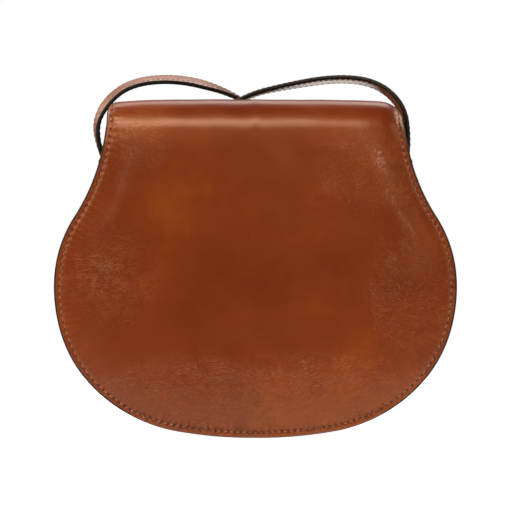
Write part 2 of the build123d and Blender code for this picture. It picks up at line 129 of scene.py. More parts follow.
def leather(name, dark, mid, light, crease_spots=(), grain_scale=1500, shine=0.12, coat_rough=0.18,
            tint=(1.0, 0.50, 0.22, 1)):
    """Glossy aniline leather: cloudy colour, fine pores, and creases inside the given soft spots."""
    material, shader, add, feed = new_material(name)
    place = add("ShaderNodeTexCoord").outputs["Object"]
    cloud = add("ShaderNodeTexNoise", {"Vector": place, "Scale": 16, "Detail": 5, "Roughness": 0.55})
    speckle = add("ShaderNodeTexNoise", {"Vector": place, "Scale": 150, "Detail": 4, "Roughness": 0.6})
    mixed = add("ShaderNodeMath", {0: speckle.outputs["Fac"], 1: 0.28, 2: cloud.outputs["Fac"]},
                operation="MULTIPLY_ADD")
    colour = ramp(add, mixed.outputs[0], [(0.45, dark), (0.66, mid), (0.86, light)])
    pores = add("ShaderNodeTexVoronoi", {"Vector": place, "Scale": grain_scale}, feature="DISTANCE_TO_EDGE")
    fine = add("ShaderNodeTexNoise", {"Vector": place, "Scale": grain_scale * 0.35, "Detail": 3})
    grain = add("ShaderNodeMath", {0: pores.outputs["Distance"], 1: 0.8, 2: fine.outputs["Fac"]},
                operation="MULTIPLY_ADD")
    grain_bump = add("ShaderNodeBump", {"Height": grain.outputs[0], "Strength": 0.30, "Distance": 0.00006})
    normal = grain_bump.outputs["Normal"]
    rough = spread(add, cloud.outputs["Fac"], 0.3, 0.7, 0.33, 0.44)
    warp = add("ShaderNodeTexNoise", {"Vector": place, "Scale": 60, "Detail": 2})
    shift = add("ShaderNodeVectorMath", {0: warp.outputs["Color"], 1: (0.010,) * 3}, operation="MULTIPLY")
    bent = add("ShaderNodeVectorMath", {0: place, 1: shift.outputs[0]}, operation="ADD").outputs[0]
    for centre, stretch, turn, depth in crease_spots:
        offset = [-c * s for c, s in zip(centre, stretch)]
        local = add("ShaderNodeMapping", {"Vector": place, "Location": offset, "Scale": stretch})
        spot = add("ShaderNodeTexGradient", {"Vector": local.outputs[0]}, gradient_type="SPHERICAL")
        turned = add("ShaderNodeMapping", {"Vector": bent, "Rotation": (0, radians(turn), 0)})
        drawn = add("ShaderNodeMapping", {"Vector": turned.outputs[0], "Scale": (0.34, 1, 1)})
        lines = add("ShaderNodeTexNoise",
                    {"Vector": drawn.outputs[0], "Scale": 760, "Detail": 3, "Roughness": 0.5})
        centred = add("ShaderNodeMath", {0: lines.outputs["Fac"], 1: 0.5}, operation="SUBTRACT")
        ridge = add("ShaderNodeMath", {0: centred.outputs[0]}, operation="ABSOLUTE")
        valley = spread(add, ridge.outputs[0], 0.0, 0.06, 0.0, 1.0)
        patchy = spread(add, speckle.outputs["Fac"], 0.32, 0.56, 0.30, 1.0)
        amount = add("ShaderNodeMath", {0: spot.outputs["Fac"], 1: depth}, operation="MULTIPLY",
                     use_clamp=True)
        strength = add("ShaderNodeMath", {0: amount.outputs[0], 1: patchy}, operation="MULTIPLY")
        creased = add("ShaderNodeBump", {"Height": valley, "Normal": normal, "Strength": strength.outputs[0],
                                         "Distance": 0.00023})
        normal = creased.outputs["Normal"]
    feed("Base Color", colour)
    feed("Roughness", rough)
    feed("Normal", normal)
    feed("Coat Normal", normal)
    shader.inputs["Specular IOR Level"].default_value = min(1.0, 4.0 * shine)
    shader.inputs["Specular Tint"].default_value = tint
    shader.inputs["Coat Weight"].default_value = 1.9 * shine
    shader.inputs["Coat Roughness"].default_value = coat_rough
    return material


def plain_finish(name, low, high, rough, scale, bump, metal=0.0, specular=0.5):
    """A smooth finish with a slight cloudy change of colour and a slight bump."""
    material, shader, add, feed = new_material(name)
    place = add("ShaderNodeTexCoord").outputs["Object"]
    cloud = add("ShaderNodeTexNoise", {"Vector": place, "Scale": scale, "Detail": 4})
    feed("Base Color", ramp(add, cloud.outputs["Fac"], [(0.35, low), (0.65, high)]))
    feed("Roughness", spread(add, cloud.outputs["Fac"], 0.3, 0.7, rough[0], rough[1]))
    tooth = add("ShaderNodeBump", {"Height": cloud.outputs["Fac"], "Strength": 0.3, "Distance": bump})
    feed("Normal", tooth.outputs["Normal"])
    shader.inputs["Metallic"].default_value = metal
    shader.inputs["Specular IOR Level"].default_value = specular
    return material


cognac_dark, cognac, cognac_light = (0.076, 0.0083, 0.0001), (0.090, 0.0114, 0.0001), (0.128, 0.0220, 0.0002)
strap_leather = leather("strap_leather", (0.17, 0.048, 0.014), (0.23, 0.074, 0.025), (0.31, 0.115, 0.045),
                        grain_scale=2200, shine=0.46, coat_rough=0.34, tint=(1.0, 0.92, 0.88, 1))
edge_paint = plain_finish("edge_paint", (0.004, 0.003, 0.003), (0.010, 0.007, 0.006), (0.42, 0.55),
                          400, 0.00004, specular=0.14)
strap_thread = plain_finish("strap_thread", (0.020, 0.010, 0.007), (0.045, 0.022, 0.014), (0.55, 0.7),
                            3000, 0.0001)


# ---- Strap
# One long strap in two ends, each folded round a square ring at the side of the neck. They cross
# over the crown, hang in front of the flap as a loop, and meet in a small buckle on the floor.
def smooth_line(name, points):
    """Points along the NURBS line that has the given control points, without its bevel."""
    curve = bpy.data.curves.new(name, "CURVE")
    curve.dimensions = "3D"
    curve.resolution_u = 14
    spline = curve.splines.new("NURBS")
    spline.points.add(len(points) - 1)
    for target, point in zip(spline.points, points):
        target.co = (*point, 1)
    spline.order_u = 3
    spline.use_endpoint_u = True
    holder = bpy.data.objects.new(name, curve)
    bpy.context.scene.collection.objects.link(holder)
    line = bpy.data.meshes.new_from_object(holder.evaluated_get(bpy.context.evaluated_depsgraph_get()))
    found = np.array([vertex.co for vertex in line.vertices])
    bpy.data.objects.remove(holder)
    bpy.data.meshes.remove(line)
    return found


def run_along(points):
    """Distance along a line to each of its points."""
    return np.concatenate([[0], np.cumsum(np.linalg.norm(np.diff(points, axis=0), axis=1))])


def even_steps(points, step):
    """The same line cut into equal steps."""
    lengths = run_along(points)
    count = max(2, int(round(lengths[-1] / step)) + 1)
    at = np.linspace(0, lengths[-1], count)
    return np.stack([np.interp(at, lengths, points[:, k]) for k in range(points.shape[1])], axis=1)


def unit(rows):
    return rows / np.maximum(np.linalg.norm(rows, axis=-1, keepdims=True), 1e-12)


def frames(points, roll):
    """Tangent, width and outward directions along a strap: its width lies along Y, then rolls by an angle."""
    tangent = unit(np.gradient(points, axis=0))
    across = np.array([0, 1.0, 0]) - tangent * tangent[:, 1:2]
    across = unit(across)
    outward = np.cross(across, tangent)
    angle = np.array([roll(point) for point in points])[:, None]
    width = across * np.cos(angle) + outward * np.sin(angle)
    return tangent, width, unit(np.cross(width, tangent))


def new_object(name, vertices, faces, materials, material_index=None, smooth=True):
    mesh = bpy.data.meshes.new(name)
    mesh.from_pydata([tuple(v) for v in vertices], [], [tuple(f) for f in faces])
    for material in materials:
        mesh.materials.append(material)
    if material_index is not None:
        mesh.polygons.foreach_set("material_index", list(material_index))
    mesh.polygons.foreach_set("use_smooth", [smooth] * len(mesh.polygons))
    mesh.update()
    made = bpy.data.objects.new(name, mesh)
    bpy.context.scene.collection.objects.link(made)
    return made


def ribbon(name, points, width_way, outward, width, thick, face_material, edge_material):
    """A closed strap with rounded painted edges, along points."""
    corners = 28
    turn = np.arange(corners) * 2 * pi / corners
    flat_face, full_edge = 0.34, 0.55
    side = np.sign(np.cos(turn)) * np.abs(np.cos(turn)) ** flat_face * width / 2
    rise = np.sign(np.sin(turn)) * np.abs(np.sin(turn)) ** full_edge * thick / 2
    sideways = width_way[:, None, :] * side[None, :, None]
    rings = points[:, None, :] + sideways + outward[:, None, :] * rise[None, :, None]
    count = len(points)
    vertices = rings.reshape(-1, 3)
    faces, index = [], []
    for i in range(count - 1):
        for k in range(corners):
            near, after = i * corners, (k + 1) % corners
            faces.append((near + k, near + after, near + corners + after, near + corners + k))
            index.append(1 if abs(side[k] + side[after]) / 2 > 0.44 * width else 0)
    faces.append(tuple(range(corners - 1, -1, -1)))
    faces.append(tuple((count - 1) * corners + k for k in range(corners)))
    index += [1, 1]
    made = new_object(name, vertices, faces, [face_material, edge_material], index)
    outward_normals(made)
    return made


def outward_normals(thing):
    working = bmesh.new()
    working.from_mesh(thing.data)
    bmesh.ops.recalc_face_normals(working, faces=working.faces)
    working.to_mesh(thing.data)
    working.free()


def build_stitch_tree():
    """Geometry Nodes: a stitch at every pitch along a line, laid on the line's "up" attribute."""
    tree = bpy.data.node_groups.new("stitch_row", "GeometryNodeTree")
    sockets = {}
    tree.interface.new_socket("Geometry", in_out="INPUT", socket_type="NodeSocketGeometry")
    for label, kind in (("Pitch", "Float"), ("Size", "Vector"), ("Slant", "Float"), ("Material", "Material")):
        socket = tree.interface.new_socket(label, in_out="INPUT", socket_type="NodeSocket" + kind)
        sockets[label] = socket.identifier
    tree.interface.new_socket("Geometry", in_out="OUTPUT", socket_type="NodeSocketGeometry")
    add, link = tree.nodes.new, tree.links.new
    given, result = add("NodeGroupInput"), add("NodeGroupOutput")
    to_curve, to_points = add("GeometryNodeMeshToCurve"), add("GeometryNodeCurveToPoints")
    to_points.mode = "LENGTH"
    link(given.outputs["Geometry"], to_curve.inputs["Mesh"])
    link(to_curve.outputs["Curve"], to_points.inputs["Curve"])
    link(given.outputs["Pitch"], to_points.inputs["Length"])
    up = add("GeometryNodeInputNamedAttribute")
    up.data_type = "FLOAT_VECTOR"
    up.inputs["Name"].default_value = "up"
    along, stand = add("FunctionNodeAlignRotationToVector"), add("FunctionNodeAlignRotationToVector")
    along.axis, stand.axis, stand.pivot_axis = "X", "Z", "X"
    link(to_points.outputs["Tangent"], along.inputs["Vector"])
    link(along.outputs["Rotation"], stand.inputs["Rotation"])
    link(up.outputs["Attribute"], stand.inputs["Vector"])
    jitter = add("FunctionNodeRandomValue")
    jitter.inputs[2].default_value, jitter.inputs[3].default_value = -0.05, 0.05
    jitter.inputs["Seed"].default_value = 7
    slant = add("ShaderNodeMath")
    link(given.outputs["Slant"], slant.inputs[0])
    link(jitter.outputs[1], slant.inputs[1])
    turn = add("ShaderNodeCombineXYZ")
    link(slant.outputs[0], turn.inputs["Z"])
    to_rotation = add("FunctionNodeEulerToRotation")
    link(turn.outputs[0], to_rotation.inputs[0])
    tilt = add("FunctionNodeRotateRotation")
    tilt.rotation_space = "LOCAL"
    link(stand.outputs["Rotation"], tilt.inputs[0])
    link(to_rotation.outputs[0], tilt.inputs[1])
    bead = add("GeometryNodeMeshUVSphere")
    bead.inputs["Segments"].default_value, bead.inputs["Rings"].default_value = 8, 6
    bead.inputs["Radius"].default_value = 0.5
    spin = add("GeometryNodeTransform")
    spin.inputs["Rotation"].default_value = (0, pi / 2, 0)
    shape = add("GeometryNodeTransform")
    link(bead.outputs["Mesh"], spin.inputs["Geometry"])
    link(spin.outputs["Geometry"], shape.inputs["Geometry"])
    link(given.outputs["Size"], shape.inputs["Scale"])
    place = add("GeometryNodeInstanceOnPoints")
    link(to_points.outputs["Points"], place.inputs["Points"])
    link(shape.outputs["Geometry"], place.inputs["Instance"])
    link(tilt.outputs["Rotation"], place.inputs["Rotation"])
    real = add("GeometryNodeRealizeInstances")
    soft = add("GeometryNodeSetShadeSmooth")
    paint = add("GeometryNodeSetMaterial")
    link(place.outputs["Instances"], real.inputs["Geometry"])
    link(real.outputs["Geometry"], soft.inputs[0])
    link(soft.outputs[0], paint.inputs["Geometry"])
    link(given.outputs["Material"], paint.inputs["Material"])
    link(paint.outputs["Geometry"], result.inputs["Geometry"])
    return tree, sockets


stitch_tree, stitch_sockets = build_stitch_tree()


def sew(name, rows, pitch, size, slant, material):
    """Stitches along each row, a (points, up directions) pair, as one plain mesh."""
    mesh = bpy.data.meshes.new(name)
    vertices, edges, ups = [], [], []
    for points, up in rows:
        first = len(vertices)
        vertices += [tuple(p) for p in points]
        ups += [tuple(u) for u in up]
        edges += [(first + k, first + k + 1) for k in range(len(points) - 1)]
    mesh.from_pydata(vertices, edges, [])
    attribute = mesh.attributes.new("up", "FLOAT_VECTOR", "POINT")
    attribute.data.foreach_set("vector", np.array(ups, np.float32).ravel())
    holder = bpy.data.objects.new(name + "_line", mesh)
    bpy.context.scene.collection.objects.link(holder)
    modifier = holder.modifiers.new("stitches", "NODES")
    modifier.node_group = stitch_tree
    modifier[stitch_sockets["Pitch"]] = pitch
    modifier[stitch_sockets["Size"]] = size
    modifier[stitch_sockets["Slant"]] = slant
    modifier[stitch_sockets["Material"]] = material
    made = bpy.data.meshes.new_from_object(holder.evaluated_get(bpy.context.evaluated_depsgraph_get()))
    made.name = name
    bpy.data.objects.remove(holder)
    thing = bpy.data.objects.new(name, made)
    bpy.context.scene.collection.objects.link(thing)
    return thing


strap_width, strap_thick = 0.012, 0.0026
ring_y, strap_y, strap_floor, heel_x = -0.008, 0.046, 0.003, -0.030
ring_wire = 0.0014           # radius
loop_radius = 0.0021         # a bar's middle to the middle of the ply folded round it
ring_bar = {}
for side, node in ((-1, "strap_ring_left"), (1, "strap_ring_right")):
    low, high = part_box(node)
    inner_x = (high.x if side < 0 else low.x) + side * ring_wire
    ring_bar[side] = Vector((inner_x, ring_y, high.z - ring_wire))

short_route = [
    (-0.0866, ring_y, 0.161), (-0.0802, ring_y, 0.1768), (-0.0665, 0.003, 0.1882), (-0.044, 0.016, 0.1915),
    (-0.020, 0.027, 0.187), (0.000, 0.035, 0.177), (0.026, 0.042, 0.156), (0.060, strap_y, 0.128),
    (0.083, strap_y, 0.096), (0.0895, strap_y, 0.060), (0.080, strap_y, 0.027), (0.060, strap_y, 0.007),
    (0.038, strap_y, strap_floor), (heel_x, strap_y, strap_floor),
]
long_route = [
    (0.0812, ring_y, 0.158), (0.0786, ring_y, 0.1745), (0.0655, -0.003, 0.1873), (0.045, 0.004, 0.1908),
    (0.018, 0.009, 0.187), (-0.006, 0.016, 0.182), (-0.030, 0.032, 0.166), (-0.060, strap_y, 0.134),
    (-0.083, strap_y, 0.099), (-0.0895, strap_y, 0.062), (-0.080, strap_y, 0.026), (-0.064, strap_y, 0.006),
    (-0.048, strap_y, 0.0016), (-0.034, strap_y, 0.0105), (-0.026, strap_y, 0.0105),
    (-0.009, strap_y, 0.0062), (0.014, strap_y, 0.0059), (0.036, strap_y, 0.0061),
]
strap_step = 0.0018
roll_left, roll_right = radians(-21), radians(-8)


def strap_roll(amount, side):
    """A roll of the strap's face, full along its arc over the crown and none from the crossing down."""
    def roll(point):
        high = np.clip((point[2] - 0.150) / 0.025, 0, 1)
        outer = np.clip((side * point[0] - 0.004) / 0.025, 0, 1)
        return amount * high * outer
    return roll


def strap_end(side):
    """Where the strap leaves its loop on the ring."""
    return ring_bar[side] + Vector((0, 0, loop_radius))


row_inset, strap_pitch, strap_stitch = 0.0040, 0.0030, (0.0021, 0.0005, 0.0004)
unsewn = 4                   # steps at each end
strap_paths = {}
for name, side, route, roll in (("strap_short", -1, short_route, strap_roll(roll_left, -1)),
                                ("strap_long", 1, long_route, strap_roll(roll_right, 1))):
    path = even_steps(smooth_line(name + "_route", [tuple(strap_end(side))] + route), strap_step)
    tangent, across, outward = frames(path, roll)
    strap = ribbon(name + "_plies", path, across, outward, strap_width, strap_thick,
                   strap_leather, edge_paint)
    rows = []
    for edge in (-1, 1):
        for face in (-1, 1):
            line = path + across * edge * row_inset + outward * face * (strap_thick / 2 - 0.00002)
            rows.append((line[unsewn:-unsewn], outward[unsewn:-unsewn] * face))
    thread = sew(name + "_thread", rows, strap_pitch, strap_stitch, radians(6), strap_thread)
    strap_paths[name] = (strap, thread, path, across, outward)


def joined(name, things):
    """One object from several, its place in its mesh."""
    for thing in bpy.context.view_layer.objects:
        thing.select_set(False)
    for thing in things:
        thing.select_set(True)
    bpy.context.view_layer.objects.active = things[0]
    bpy.ops.object.join()
    things[0].name = name
    things[0].data.name = name
    return things[0]


def bent_strip(name, corners, width, thick, y, face_material, edge_material):
    """A short flat strap bent along (x, z) corners, its width centred on y."""
    line = even_steps(smooth_line(name, [(x, y, z) for x, z in corners]), 0.0004)
    _, across, outward = frames(line, lambda point: 0.0)
    return ribbon(name, line, across, outward, width, thick, face_material, edge_material)


def round_bar(centre, radius, start, sweep, steps=14):
    """(x, z) corners that go round a bar, from one angle through another."""
    angles = [radians(start + sweep * k / steps) for k in range(steps + 1)]
    grow = 1 / cos(radians(sweep / steps / 2))
    return [(centre[0] + radius * grow * cos(a), centre[1] + radius * grow * sin(a)) for a in angles]


ply = 0.0013
hole_radius, hole_pitch, hole_corners = 0.00155, 0.014, 20
for name, side in (("strap_short", -1), ("strap_long", 1)):
    strap, thread, path, across, outward = strap_paths[name]
    bar = ring_bar[side]
    loop = bent_strip(name + "_loop", round_bar((bar.x, bar.z), loop_radius, 84, side * -348),
                      strap_width - 0.0004, ply, ring_y, strap_leather, edge_paint)
    parts = [strap, thread, loop]
    if side < 0:
        heel = Vector((heel_x, strap_y, strap_floor + strap_thick / 2 + 0.0016))
        round_heel = [(-0.020, 0.0037)] + round_bar((heel.x, heel.z), loop_radius, -90, -180, 8)
        fold = round_heel + [(-0.0265, 0.0078), (-0.0235, 0.0056), (-0.0205, 0.0049), (-0.0120, 0.0049)]
        for edge in (-1, 1):
            parts.append(bent_strip("fold", fold[:-1], 0.0038, ply, strap_y + edge * 0.0041,
                                    strap_leather, edge_paint))
        parts.append(bent_strip("fold_end", [(-0.0228, 0.0053), (-0.0200, 0.0049), (-0.0120, 0.0049)],
                                strap_width, ply, strap_y, strap_leather, edge_paint))
    else:
        tail = path[path[:, 2] < 0.03]
        tail = tail[tail[:, 0] > heel_x + 0.012]
        # The buckle holes are near-black capped discs through the strap's tail: painted shade where each hole
        # goes through.
        turn = np.linspace(0, 2 * pi, hole_corners, endpoint=False)
        reach = strap_thick / 2 + 0.00004
        for count in range(4):
            hole_x = heel_x + 0.020 + hole_pitch * count
            centre = tail[np.argmin(np.abs(tail[:, 0] - hole_x))]
            ring = [(centre[0] + hole_radius * cos(a), centre[1] + hole_radius * sin(a)) for a in turn]
            vertices = [(x, y, centre[2] + reach) for x, y in ring]
            vertices += [(x, y, centre[2] - reach) for x, y in ring]
            faces = [tuple(range(hole_corners)), tuple(range(2 * hole_corners - 1, hole_corners - 1, -1))]
            for k in range(hole_corners):
                after = (k + 1) % hole_corners
                faces.append((k, k + hole_corners, after + hole_corners, after))
            parts.append(new_object("hole", vertices, faces, [edge_paint], smooth=False))
    strap = joined(name + "_leather", parts)
    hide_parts(name)
    ring = "ring_left" if side < 0 else "ring_right"
    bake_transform(strap)


# ---- Studio
# A pale floor under a white surround. A broad key from above and behind the camera and a long strip
# draw the highlight along the crown, and soft boxes stand at the sides, behind and above.
def pale_floor():
    material, shader, add, feed = new_material("pale_floor")
    place = add("ShaderNodeTexCoord").outputs["Object"]
    cloud = add("ShaderNodeTexNoise", {"Vector": place, "Scale": 3.0, "Detail": 2})
    tones = [(0.3, (0.50, 0.50, 0.50)), (0.7, (0.52, 0.52, 0.52))]
    feed("Base Color", ramp(add, cloud.outputs["Fac"], tones))
    shader.inputs["Roughness"].default_value = 0.95
    shader.inputs["Specular IOR Level"].default_value = 0.1
    shader.inputs["Emission Color"].default_value = (1, 1, 1, 1)
    seen = add("ShaderNodeLightPath").outputs["Is Camera Ray"]
    split = add("ShaderNodeSeparateXYZ", {"Vector": place})
    # For all but the camera the floor glows, faintly far off and strongly just round the bag: a glowing floor
    # that throws a painted reflection onto the lower back and its edge.
    glow_near_bag = spread(add, split.outputs["Y"], -0.17, -0.07, 0.10, 1.30)
    feed("Emission Strength", spread(add, seen, 0, 1, glow_near_bag, 0.93))
    reach = 0.55
    below = -0.0001
    corners = [(-reach, -reach, below), (reach, -reach, below), (reach, reach, below), (-reach, reach, below)]
    return new_object("pale_floor", corners, [(0, 1, 2, 3)], [material])


pale_floor()


def aim(holder, where, towards):
    holder.location = where
    holder.rotation_euler = (Vector(towards) - Vector(where)).to_track_quat("-Z", "Y").to_euler()
    bpy.context.scene.collection.objects.link(holder)


warm, nearly_white = (1.0, 0.82, 0.64), (1.0, 0.95, 0.92)


def soft_box(name, where, towards, width, height, power, tint=warm):
    light = bpy.data.lights.new(name, "AREA")
    light.shape = "RECTANGLE"
    light.size, light.size_y = width, height
    light.energy = power
    light.color = tint
    aim(bpy.data.objects.new(name, light), where, towards)


middle = (0, 0, 0.09)
key = bpy.data.lights.new("key", "SUN")
key.energy = 1.1
key.angle = radians(24)
key.color = warm
aim(bpy.data.objects.new("key", key), (-0.25, -0.80, 0.98), (0, 0, 0))
soft_box("crown_strip", (-0.36, -0.85, 1.02), (0, 0, 0.16), 1.1, 0.46, 15.5)
soft_box("overhead", (-0.15, 0.62, 1.15), (-0.02, 0.01, 0.19), 1.4, 0.5, 8, nearly_white)
for side in (-1, 1):
    soft_box("window", (side * 0.32, -1.25, 0.36), (0, 0, 0.14), 0.20, 0.14, 1.7 + 0.6 * side)
soft_box("left_box", (-1.00, -0.50, 0.62), middle, 0.7, 0.9, 7.5)
soft_box("right_box", (1.00, -0.50, 0.55), middle, 0.7, 0.9, 5.0)
for side in (-1, 1):
    soft_box("far_box", (side * 1.25, 0.75, 0.80), middle, 0.8, 0.8, 9)
world = bpy.data.worlds.new("white_surround")
world.use_nodes = True
surround = world.node_tree
seen_white = surround.nodes["Background"]
dim = surround.nodes.new("ShaderNodeBackground")
for backdrop, strength in ((seen_white, 1.0), (dim, 0.07)):
    backdrop.inputs["Color"].default_value = (1, 1, 1, 1)
    backdrop.inputs["Strength"].default_value = strength
ray = surround.nodes.new("ShaderNodeLightPath")
choose = surround.nodes.new("ShaderNodeMixShader")
surround.links.new(ray.outputs["Is Camera Ray"], choose.inputs["Fac"])
surround.links.new(dim.outputs[0], choose.inputs[1])
surround.links.new(seen_white.outputs[0], choose.inputs[2])
surround.links.new(choose.outputs[0], surround.nodes["World Output"].inputs["Surface"])
bpy.context.scene.world = world
bpy.context.scene.view_settings.view_transform = "Standard"


# ---- Back of the bag
# One hide of glossy cognac leather is the back, the crown and the flap. It is cut to the saddle
# outline, sewn 3 mm inside its painted edge, and rolls over the top of the bag.
bag_half, hip_height = back_high.x, 0.080
bottom_radius, shoulder_radius = 0.235, 0.065
neck_half, neck_height, neck_lean = 0.078, 0.165, radians(4)
line_step = 0.000875
fullness = 0.0012            # that the sewn edge stands out at the lower corners
_, crown_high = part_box("flap_crown")
roll_radius = 0.016
back_y, hinge_height = back_low.y, crown_high.z - roll_radius
_, front_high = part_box("front_panel")
front_slope = (front_high.y - 0.024) / 0.150
front_lean = np.arctan(front_slope)
flap_gap, flap_leather, lining_thick = 0.0026, 0.0018, 0.0008
front_foot = 0.034           # Y of the front's outside at the floor


def outline_arcs():
    """Right half of the outline, bottom to neck: each arc's centre, radius, angles, and +1 where convex."""
    lobe = (2 * bottom_radius * hip_height - hip_height**2 - bag_half**2) / (2 * (bottom_radius - bag_half))
    lobe_x, shoulder_x = bag_half - lobe, bag_half - shoulder_radius
    reach = (neck_half - shoulder_x, neck_height - hip_height)
    along = reach[0] * cos(neck_lean) + reach[1] * sin(neck_lean)
    waist = (reach[0]**2 + reach[1]**2 - shoulder_radius**2) / (2 * (shoulder_radius - along))
    waist_x, waist_z = neck_half + waist * cos(neck_lean), neck_height + waist * sin(neck_lean)
    bottom_end = np.arctan2(hip_height - bottom_radius, lobe_x)
    shoulder_end = np.arctan2(waist_z - hip_height, waist_x - shoulder_x)
    return [
        (0, bottom_radius, bottom_radius, -pi / 2, bottom_end, 1),
        (lobe_x, hip_height, lobe, bottom_end, 0, 1),
        (shoulder_x, hip_height, shoulder_radius, 0, shoulder_end, 1),
        (waist_x, waist_z, waist, shoulder_end - pi, neck_lean - pi, -1),
    ]


def outline_line(top, inset=0.0):
    """Right half of the outline from the bottom's middle up to a height: rows of x and z."""
    rows = []
    for x, z, radius, first, last, convex in outline_arcs():
        count = int(np.ceil(radius * abs(last - first) / (line_step / 4)))
        angles = np.linspace(first, last, count, endpoint=False)
        height = z + radius * np.sin(angles)
        reach = radius - convex * inset + fullness * np.exp(-((height - 0.038) / 0.028) ** 2)
        rows.append(np.stack([x + reach * np.cos(angles), z + reach * np.sin(angles)], axis=1))
    rows = np.concatenate(rows)
    rows = rows[rows[:, 1] < top]
    if top > neck_height:
        above = np.arange(neck_height, top, line_step / 4)
        rows = np.concatenate([rows, np.stack([np.full(len(above), neck_half - inset), above], axis=1)])
    return np.concatenate([rows, [(rows[-1][0], top)]])


def line_out(line):
    """Outward directions square to a line that runs from the bottom's middle up the right side."""
    along = unit(np.gradient(line, axis=0))
    out = np.stack([along[:, 1], -along[:, 0]], axis=1)
    out[0] = (0, -1)
    out[-1] = (1, 0)
    return out


first_flat = hinge_height + roll_radius * pi / 2
crown_back_y = back_y + roll_radius
slant = cos(front_lean)
flap_stands = (flap_gap + flap_leather + lining_thick) / slant
crown_front_y = (front_foot - hinge_height * front_slope + flap_stands) - roll_radius / slant
flat_length = crown_front_y - crown_back_y
second_roll = first_flat + flat_length
fold_run = second_roll + roll_radius * (pi / 2 - front_lean)
crown_middle = first_flat + flat_length / 2
fold_y = crown_front_y + roll_radius * cos(front_lean)
fold_z = hinge_height + roll_radius * sin(front_lean)


def over_the_top(run):
    """Y, Z and outward Y, Z of the hide's outside, at a run up the back, over the crown and down."""
    run = np.asarray(run, float)
    first = (run - hinge_height) / roll_radius
    second = (run - second_roll) / roll_radius
    rest = run - fold_run
    cases = [run < hinge_height, run < first_flat, run < second_roll, run < fold_run]
    rolled_back, rolled_front = roll_radius * np.cos(first), roll_radius * np.sin(second)
    y = np.select(cases, [back_y + 0 * run, crown_back_y - rolled_back, crown_back_y + run - first_flat,
                          crown_front_y + rolled_front], fold_y + rest * sin(front_lean))
    up, over = roll_radius * np.sin(first), roll_radius * np.cos(second)
    z = np.select(cases, [run, hinge_height + up, hinge_height + roll_radius + 0 * run,
                          hinge_height + over], fold_z - rest * cos(front_lean))
    ny = np.select(cases, [-1 + 0 * run, -np.cos(first), 0 * run, np.sin(second)], cos(front_lean))
    nz = np.select(cases, [0 * run, np.sin(first), 1 + 0 * run, np.cos(second)], sin(front_lean))
    return y, z, ny, nz


def smooth_between(value, low, high):
    t = np.clip((value - low) / (high - low), 0, 1)
    return t * t * (3 - 2 * t)


def pillow(distance, reach=0.032):
    """Rise of a panel from its edge, level past a distance from it."""
    return 1 - (1 - np.clip(distance / reach, 0, 1)) ** 3


def waves(x, v, scale, seed):
    """Soft uneven waves, about -1 to 1."""
    flat = np.array([noise.noise((a * scale, b * scale, seed)) for a, b in zip(np.ravel(x), np.ravel(v))])
    return flat.reshape(np.shape(x)) * 1.6


stitch_inset, stitch_pitch = 0.0031, 0.0035
edge_round = 0.0009


def edge_relief(distance, phase, pucker):
    """Height of sewn leather near its edge: rounded edge, pressed lip, groove and puckers."""
    close = np.clip(edge_round - distance, 0, edge_round)
    rounding = -(edge_round - np.sqrt(edge_round**2 - close**2)) * 0.85
    lip = -0.00010 * (1 - smooth_between(distance, 0.0024, 0.0034))
    beat = 0.5 + 0.5 * np.cos(2 * pi * phase)
    groove = -0.00034 * np.exp(-((distance - stitch_inset) / 0.00052) ** 2) * (0.55 + 0.45 * beat)
    fading = np.exp(-np.abs(distance - stitch_inset) / 0.0022) * smooth_between(distance, 0.0008, 0.0026)
    return rounding + lip + groove - pucker * beat * fading


def both_sides(line, count):
    """A half outline cut into equal steps and mirrored, left top to right top, and its outward directions."""
    run = run_along(line)
    even = np.linspace(0, run[-1], count)
    line = np.stack([np.interp(even, run, line[:, k]) for k in (0, 1)], axis=1)
    out = line_out(line)
    full = np.concatenate([line[::-1] * (-1, 1), line[1:]])
    full_out = np.concatenate([out[::-1] * (-1, 1), out[1:]])
    full_out[count - 1] = (0, -1)
    return full, full_out


near_edge = np.array([0, 0.18, 0.40, 0.65, 0.90, 1.4, 2.0, 2.45, 2.8, 3.1, 3.4, 3.8, 4.5, 5.5, 7.0, 9.0,
                      11.5]) / 1000


